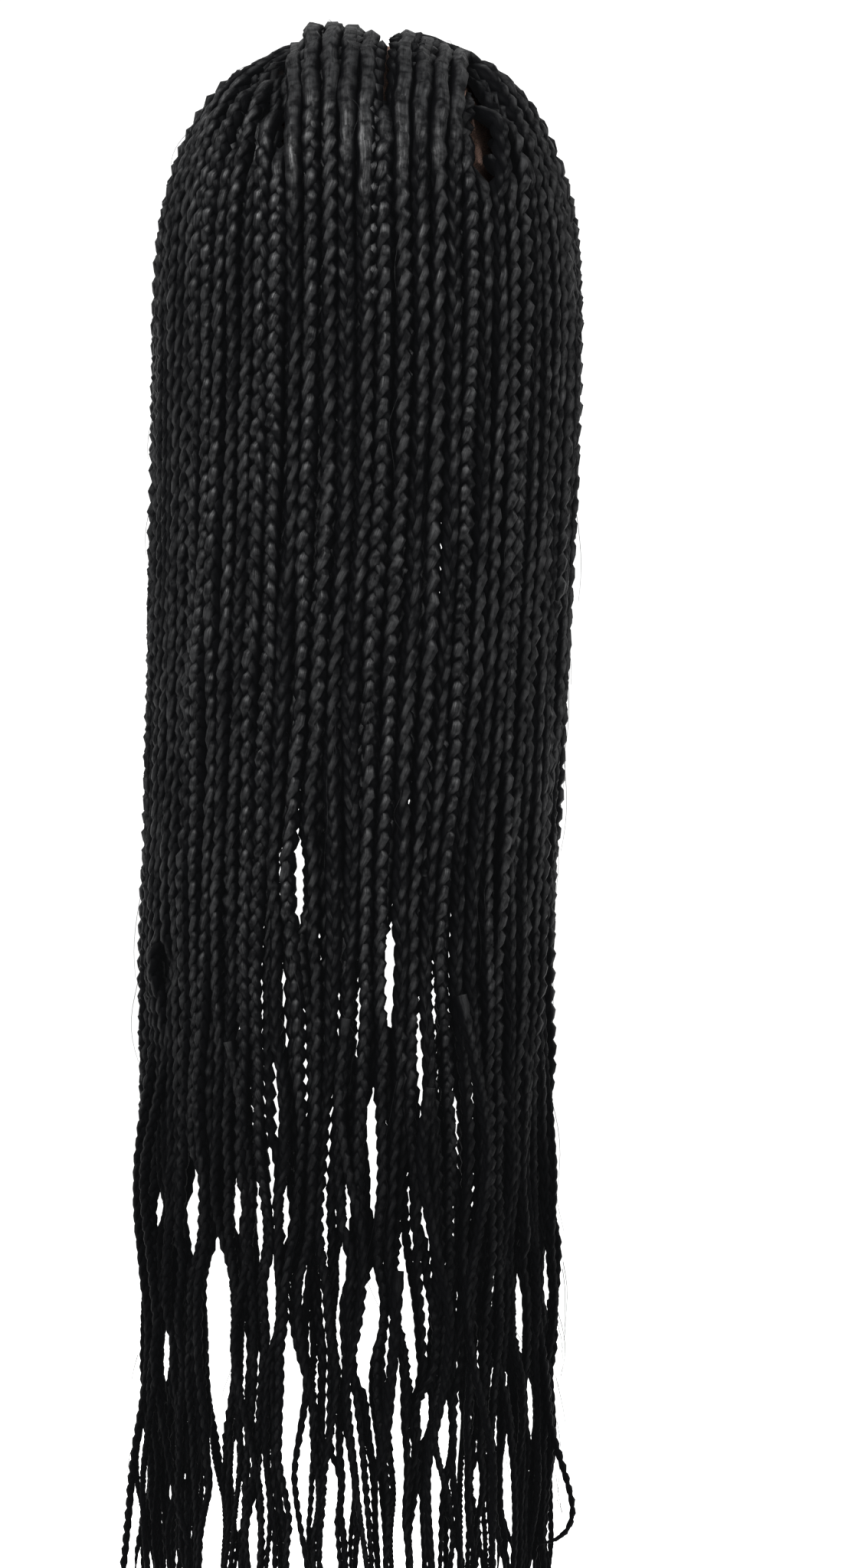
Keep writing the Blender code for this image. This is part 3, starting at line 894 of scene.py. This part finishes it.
def plait(points, widths, roll, turn, mesh, opening=OPENING):
    """(vertices, faces, uv, relief) of a braid of three strands along the points.

    Relief is how far a vertex stands out from the head, in shares of the braid, and a tone of
    the braid's own.
    """
    samples, sides = mesh
    places = np.asarray(points, float)
    widths = np.asarray(widths, float)
    run = run_along(places)
    lobe = LOBE_BASE + LOBE_PER_WIDTH * widths
    pace = 2 * math.pi / (STRANDS * lobe * random.uniform(*LOBE_STRETCH))
    phase = np.concatenate([[0.0], np.cumsum((pace[1:] + pace[:-1]) / 2 * np.diff(run))])
    count = int(phase[-1] / (2 * math.pi) * samples) + 2
    at = np.linspace(0.0, phase[-1], count)
    centre = resampled(places, phase, at)
    length = np.interp(at, phase, run)
    ending = ease((run[-1] - length) / END_RUN)
    wide = np.interp(at, phase, widths) * mix(END_SHARE, 1.0, ending)
    tone = random.uniform(0, 1)
    outward = outward_of(centre)
    side, out = across_braid(centre, outward, turn(length))
    plaited = ease((length - roll) / opening)
    vertices, faces, coords, reliefs = [], [], [], []
    begin = random.uniform(0, 2 * math.pi)
    for strand in range(STRANDS):
        angle = at + begin + strand * 2 * math.pi / STRANDS
        across = STRAND_ACROSS * wide * plaited * np.sin(angle)
        deep = STRAND_DEEP * wide * plaited * np.sin(2 * angle)
        core = centre + side * across[:, None] + out * deep[:, None]
        swell = 1 + STRAND_SWELL * plaited * np.sin(2 * angle)
        for wave, share in LUMPS:
            start = random.uniform(0, 2 * math.pi)
            uneven = share * (1 + ROLL_LUMPS * (1 - plaited))
            swell = swell + uneven * np.sin(2 * math.pi * length / wave + start)
        rolled_across, rolled_deep = (radius - ROLL_NESTED * strand for radius in ROLL_RADII)
        radius_across = wide * swell * mix(rolled_across, STRAND_RADIUS_ACROSS, plaited)
        radius_deep = wide * swell * mix(rolled_deep, STRAND_RADIUS_DEEP, plaited)
        placed = tube(core, out, radius_across, radius_deep, sides)
        vertices.append(placed.reshape(-1, 3))
        faces.append(tube_faces(count, sides) + strand * count * sides)
        around = np.broadcast_to(np.arange(sides) / sides + strand * UV_STRAND_APART, (count, sides))
        down = np.broadcast_to(length[:, None] * UV_PER_METRE, (count, sides))
        coords.append(np.stack([around, down], 2).reshape(-1, 2))
        # How far each vertex stands out, which the hair's paint turns into painted shade in the
        # grooves and painted highlight on the crests
        stands = np.einsum("ijk,ik->ij", placed - centre[:, None, :], outward) / wide[:, None]
        reliefs.append(np.stack([stands, np.full_like(stands, tone)], 2).reshape(-1, 2))
    return tuple(np.concatenate(part) for part in (vertices, faces, coords, reliefs))


def turning(swing):
    """How a braid's flat side turns along it, from slow waves of its own."""
    base = random.uniform(0, math.pi)
    start = random.uniform(0, 2 * math.pi)
    stretch = random.uniform(*TURN_WAVES)
    return lambda length: base + swing * np.sin(2 * math.pi * length / stretch + start)


def fibre(places):
    """(vertices, faces, uv, relief) of one thin fibre."""
    radius = FIBRE_RADIUS * np.linspace(1.0, FIBRE_TIP, len(places))
    vertices = tube(places, FIBRE_OUT, radius, radius, FIBRE_SIDES).reshape(-1, 3)
    coords = np.zeros((len(vertices), 2))
    relief = np.tile(FIBRE_RELIEF, (len(vertices), 1))
    return vertices, tube_faces(len(places), FIBRE_SIDES), coords, relief


def band(middle):
    """(vertices, faces, uv, relief) of the stitched band that a row's braids hang from."""
    corners = ((0.0, -0.5), (1.0, -0.5), (1.0, 0.5), (0.0, 0.5))
    half = ROW_SPAN / 2 + BAND_PAST
    vertices, faces, coords = [], [], []
    for step, angle in enumerate(np.linspace(middle - half, middle + half, BAND_STEPS + 1)):
        for corner, (out, up) in enumerate(corners):
            place = row_root(float(angle), GAP + BAND_WALL * out, ROW_LEVEL - BAND_HEIGHT * up)
            vertices.append(place)
            coords.append((corner / 4, step * BAND_UV_STEP))
            if step:
                here, there = 4 * step + corner, 4 * step + (corner + 1) % 4
                faces.append((here, here - 4, there - 4, there))
    relief = np.tile(BAND_RELIEF, (len(vertices), 1))
    return np.array(vertices), np.array(faces), np.array(coords), relief


def mesh_piece(name, made, paint):
    """One object from several plaits."""
    offset, faces = 0, []
    for own_vertices, own_faces, _, _ in made:
        faces.append(own_faces + offset)
        offset += len(own_vertices)
    faces = np.concatenate(faces)
    vertices, coords, reliefs = (
        np.concatenate([own[part] for own in made]) for part in (0, 2, 3)
    )
    mesh = bpy.data.meshes.new(name)
    mesh.vertices.add(len(vertices))
    mesh.vertices.foreach_set("co", vertices.astype(np.float32).ravel())
    mesh.loops.add(faces.size)
    mesh.loops.foreach_set("vertex_index", faces.astype(np.int32).ravel())
    mesh.polygons.add(len(faces))
    mesh.polygons.foreach_set("loop_start", np.arange(0, faces.size, 4, dtype=np.int32))
    mesh.polygons.foreach_set("use_smooth", np.ones(len(faces), dtype=bool))
    mesh.update(calc_edges=True)
    for layer_name, values in (("strands", coords), ("relief", reliefs)):
        own_layer = mesh.uv_layers.new(name=layer_name)
        own_layer.data.foreach_set("uv", values[faces.ravel()].astype(np.float32).ravel())
    mesh.materials.append(paint)
    piece = bpy.data.objects.new(name, mesh)
    bpy.context.scene.collection.objects.link(piece)
    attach(piece, "root")
    return piece


# Pieces


def crown_plaits(paint, cap_surface):
    """One plaited braid over each crown tube; returns the routes of the braids."""
    routes = []
    for column in range(-LAST_COLUMN, LAST_COLUMN + 1):
        number = column + LAST_COLUMN + 1
        points, widths = crown_route(column, cap_surface)
        places = parted(strayed(points, CROWN_STRAYS), widths)
        places[0] = points[0]
        top = in_top_group(column)
        if top:
            places = wandered(places)
        roll = roll_run(places) if top else random.uniform(*ROLL_RUN)
        mesh = BACK_MESH if abs(column) <= BACK_COLUMNS else FRONT_MESH
        opening = TOP_OPENING if top else SIDE_OPENING
        made = plait(places, widths, roll, turning(CROWN_SWING), mesh, opening)
        piece = mesh_piece(f"plait_{number:02d}", [made], paint)
        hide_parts(f"crown_braid_{number:02d}")
        routes.append(places)
    return routes


def middle_plaits(paint, cap_surface):
    """The layer of braids that shows in the grooves between the crown braids."""
    names = ("left", "back", "right")
    made = {name: [] for name in names}
    for step in range(-BACK_COLUMNS, BACK_COLUMNS):
        points, widths = middle_route(step + 0.5, cap_surface)
        places = parted(strayed(points, MIDDLE_STRAYS), widths)
        name = names[len(names) * (step + BACK_COLUMNS) // (2 * BACK_COLUMNS)]
        made[name].append(plait(places, widths, MIDDLE_ROLL, turning(MIDDLE_SWING), UNDER_MESH))
    points, widths = edge_route()
    made["right"].append(plait(points, widths, EDGE_ROLL, turning(EDGE_SWING), BACK_MESH))
    for name in names:
        mesh_piece(f"middle_plaits_{name}", made[name], paint)


def row_plaits(paint):
    """The braids of each row under the crown, and the band that they hang from."""
    step = ROW_SPAN / (ROW_COLUMNS - 1)
    middles = {"left": -math.radians(90), "back": 0.0, "right": math.radians(90)}
    for name, middle in middles.items():
        made = [band(middle)]
        for index in range(ROW_COLUMNS):
            tip = HAIR_LENGTH - ROW_SHORTER + TIP_SPREAD * math.sin(ROW_TIP_TURN * index)
            points, widths = row_route(middle - ROW_SPAN / 2 + step * index, tip)
            places = parted(strayed(points, ROW_STRAYS), widths)
            made.append(plait(places, widths, ROW_ROLL, turning(ROW_SWING), UNDER_MESH))
        piece = mesh_piece(f"row_plaits_{name}", made, paint)
        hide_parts(f"under_row_{name}")


def stray_plaits(paint):
    """Braids that leave the curtain near the tips."""
    made = []
    for stray in STRAYS:
        points, widths = stray_route(stray)
        made.append(plait(points, widths, 0.0, turning(STRAY_SWING), STRAY_MESH))
    mesh_piece("stray_plaits", made, paint)


def flyaway_fibres(paint, routes):
    """Single fibres that start in a braid, stand off it and return or end free."""
    made = []
    share = np.linspace(0.0, 1.0, FIBRE_POINTS)
    for _ in range(FLYAWAYS):
        route = routes[random.randint(len(routes))]
        run = run_along(route)
        length = random.uniform(*FLYAWAY_LENGTH)
        begin = (run[-1] - length) * (1 - random.uniform(0, 1) ** FLYAWAY_LOWER)
        places = resampled(route, run, np.linspace(begin, begin + length, FIBRE_POINTS))
        off = random.uniform(*FLYAWAY_OFF)
        out = outward_of(places)
        side = np.cross(out, (0, 0, 1.0))
        aim = random.uniform(-1, 1)
        bow = np.sin(math.pi * share * random.uniform(*FLYAWAY_BOWS))
        turns = share * random.uniform(1, 2) + random.uniform(0, 1)
        sideways = aim * bow + FLYAWAY_CURL * np.sin(2 * math.pi * turns)
        places += out * (off * mix(FLYAWAY_START, 1.0, bow))[:, None]
        places += side * (off * sideways)[:, None]
        made.append(fibre(places))
    mesh_piece("flyaway_fibres", made, paint)


# Materials


def wired(tree, node, inputs):
    """The node with its inputs set, or linked where the value is another node's output."""
    for name, value in inputs.items():
        if isinstance(value, bpy.types.NodeSocket):
            tree.links.new(value, node.inputs[name])
        else:
            node.inputs[name].default_value = value
    return node


def added(tree, kind, inputs):
    """A new shader node with its inputs."""
    return wired(tree, tree.nodes.new("ShaderNode" + kind), inputs)


def remapped(tree, value, low, high, least, most=1.0):
    """A value from low to high brought to one from least to most."""
    inputs = {"Value": value, "From Min": low, "From Max": high, "To Min": least, "To Max": most}
    return added(tree, "MapRange", inputs)


def product(tree, one, other):
    node = added(tree, "Math", {0: one, 1: other})
    node.operation = "MULTIPLY"
    return node.outputs["Value"]


def ramp(tree, value, low, high, colours):
    """A colour that goes from the first to the second while a value goes from low to high."""
    node = added(tree, "ValToRGB", {"Fac": value})
    for element, position, colour in zip(node.color_ramp.elements, (low, high), colours):
        element.position = position
        element.color = colour
    return node.outputs["Color"]


def uv_layer(tree, name):
    """The coordinates of a UV layer."""
    node = tree.nodes.new("ShaderNodeUVMap")
    node.uv_map = name
    return node.outputs["UV"]


def new_paint(name):
    paint = bpy.data.materials.new(name)
    paint.use_nodes = True
    tree = paint.node_tree
    return paint, tree, tree.nodes["Principled BSDF"]


def hair_paint():
    """Near-black synthetic hair: fine fibres along each strand, and a cool soft shine, with painted
    shade in the grooves between the lobes and painted highlight on their crests.
    """
    paint, tree, shader = new_paint("hair_fibre")
    place = tree.nodes.new("ShaderNodeTexCoord").outputs["Object"]
    lengthwise = added(tree, "Mapping", {"Vector": uv_layer(tree, "strands"), "Scale": FIBRE_STRETCH})
    grain = {"Vector": lengthwise.outputs["Vector"], "Scale": 1.0, "Detail": 4.0, "Roughness": 0.65}
    fibres = added(tree, "TexNoise", grain).outputs["Fac"]
    patches = added(tree, "TexNoise", {"Vector": place, "Scale": PATCHES_SCALE, "Detail": 2.0})
    stands = added(tree, "SeparateXYZ", {"Vector": uv_layer(tree, "relief")}).outputs["X"]
    height = added(tree, "SeparateXYZ", {"Vector": place}).outputs["Z"]
    # Painted shade and highlight: base colour and specular level grow with how far the strand stands
    # out
    crest = remapped(tree, stands, *CREST_PAINTED_LIGHT)
    crest.interpolation_type = "SMOOTHSTEP"
    patchy = remapped(tree, patches.outputs["Fac"], *PATCHY_SHINE)
    streaky = remapped(tree, fibres, *STREAKY_SHINE)
    low = remapped(tree, height, *LOW_SHINE)
    painted_shine = crest.outputs["Result"]
    for factor in (patchy, streaky, low):
        painted_shine = product(tree, painted_shine, factor.outputs["Result"])
    bumps = {"Height": fibres, "Strength": 0.55, "Distance": 0.0006}
    surface = {
        "Base Color": ramp(tree, painted_shine, 0.0, 1.0, HAIR_SHADED_TO_LIT_TINTS),
        "Roughness": ramp(tree, fibres, 0.25, 0.80, HAIR_ROUGHNESS),
        "Specular IOR Level": remapped(tree, painted_shine, 0.0, 1.0, *SPECULAR).outputs["Result"],
        "Normal": added(tree, "Bump", bumps).outputs["Normal"],
        "Emission Color": HAIR_GLOW,
        "Emission Strength": HAIR_GLOW_STRENGTH,
    }
    wired(tree, shader, surface)
    return paint


def lace_paint():
    """Brown stretch lace: a fine net over a darker ground."""
    paint, tree, shader = new_paint("cap_lace")
    place = tree.nodes.new("ShaderNodeTexCoord").outputs["Object"]
    net = added(tree, "TexVoronoi", {"Vector": place, "Scale": LACE_SCALE})
    net.feature = "DISTANCE_TO_EDGE"
    from_thread = net.outputs["Distance"]
    bump = added(tree, "Bump", {"Height": from_thread, "Strength": 0.6, "Distance": 0.0003})
    bump.invert = True
    surface = {
        "Base Color": ramp(tree, from_thread, 0.02, 0.14, LACE_TINTS),
        "Roughness": 0.85,
        "Normal": bump.outputs["Normal"],
    }
    wired(tree, shader, surface)
    return paint


def floor_paint():
    """Pale matt floor."""
    paint, tree, shader = new_paint("floor_pale")
    place = tree.nodes.new("ShaderNodeTexCoord").outputs["Object"]
    grain = added(tree, "TexNoise", {"Vector": place, "Scale": 3.0}).outputs["Fac"]
    wired(tree, shader, {"Base Color": ramp(tree, grain, 0.3, 0.7, FLOOR_TINTS), "Roughness": 0.9})
    return paint


# Stage


def camera():
    data = bpy.data.cameras.new("camera")
    data.sensor_width = SENSOR_WIDE
    data.lens = SENSOR_WIDE * CAMERA_AWAY / (IMAGE_HIGH * PIXEL)
    made = bpy.data.objects.new("camera", data)
    made.location = (CAMERA_X, -CAMERA_AWAY, CAMERA_Z)
    made.rotation_euler = (math.pi / 2, 0, 0)
    bpy.context.scene.collection.objects.link(made)
    bpy.context.scene.camera = made


def area_light(name, place, aim, size, power):
    data = bpy.data.lights.new(name, "AREA")
    data.shape = "RECTANGLE"
    data.size, data.size_y = size
    data.energy = power
    made = bpy.data.objects.new(name, data)
    made.location = place
    made.rotation_euler = (Vector(aim) - Vector(place)).to_track_quat("-Z", "Y").to_euler()
    bpy.context.scene.collection.objects.link(made)


def studio():
    """White surroundings, two lights and the floor."""
    scene = bpy.context.scene
    scene.view_settings.view_transform = "Standard"
    scene.view_settings.gamma = GAMMA
    world = bpy.data.worlds.new("studio")
    world.use_nodes = True
    background = world.node_tree.nodes["Background"]
    background.inputs["Color"].default_value = (1, 1, 1, 1)
    background.inputs["Strength"].default_value = WORLD_STRENGTH
    scene.world = world
    for light in LIGHTS:
        area_light(*light)
    bpy.ops.mesh.primitive_plane_add(size=FLOOR_SIZE, location=(0, 0, -FLOOR_DROP))
    floor = bpy.context.object
    floor.name = "floor"
    floor.data.materials.append(floor_paint())


def main():
    hair = hair_paint()
    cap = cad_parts["cap"]
    cap.data.materials.clear()
    cap.data.materials.append(lace_paint())
    cap_surface = BVHTree.FromObject(cap, bpy.context.evaluated_depsgraph_get())
    routes = crown_plaits(hair, cap_surface)
    middle_plaits(hair, cap_surface)
    row_plaits(hair)
    stray_plaits(hair)
    flyaway_fibres(hair, routes)
    camera()
    studio()


main()
bpy.context.view_layer.update()
